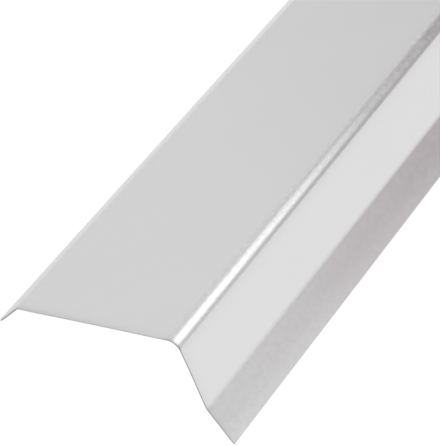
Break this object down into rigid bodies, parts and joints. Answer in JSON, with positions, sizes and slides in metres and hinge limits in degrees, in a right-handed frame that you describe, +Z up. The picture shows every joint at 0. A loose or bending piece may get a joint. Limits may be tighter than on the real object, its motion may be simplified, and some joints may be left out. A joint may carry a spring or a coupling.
{
  "type": "roof edge trim",
  "caption": "Long strip of zinc-coated sheet steel folded into a back lip, a wide top flange, a rounded corner, a face and an outward drip.",
  "frame": {"origin": "centre of the bounding box's base, on the floor under the trim as it lies on its two free edges", "axes": "+X across the section towards the drip, +Y along the length, +Z up from the floor"},
  "size_m": [0.1538, 2, 0.0618],
  "materials": {
    "zinc_sheet": "satin"
  },
  "bodies": {
    "root": {"edge_trim": "zinc_sheet"}
  },
  "joints": []
}
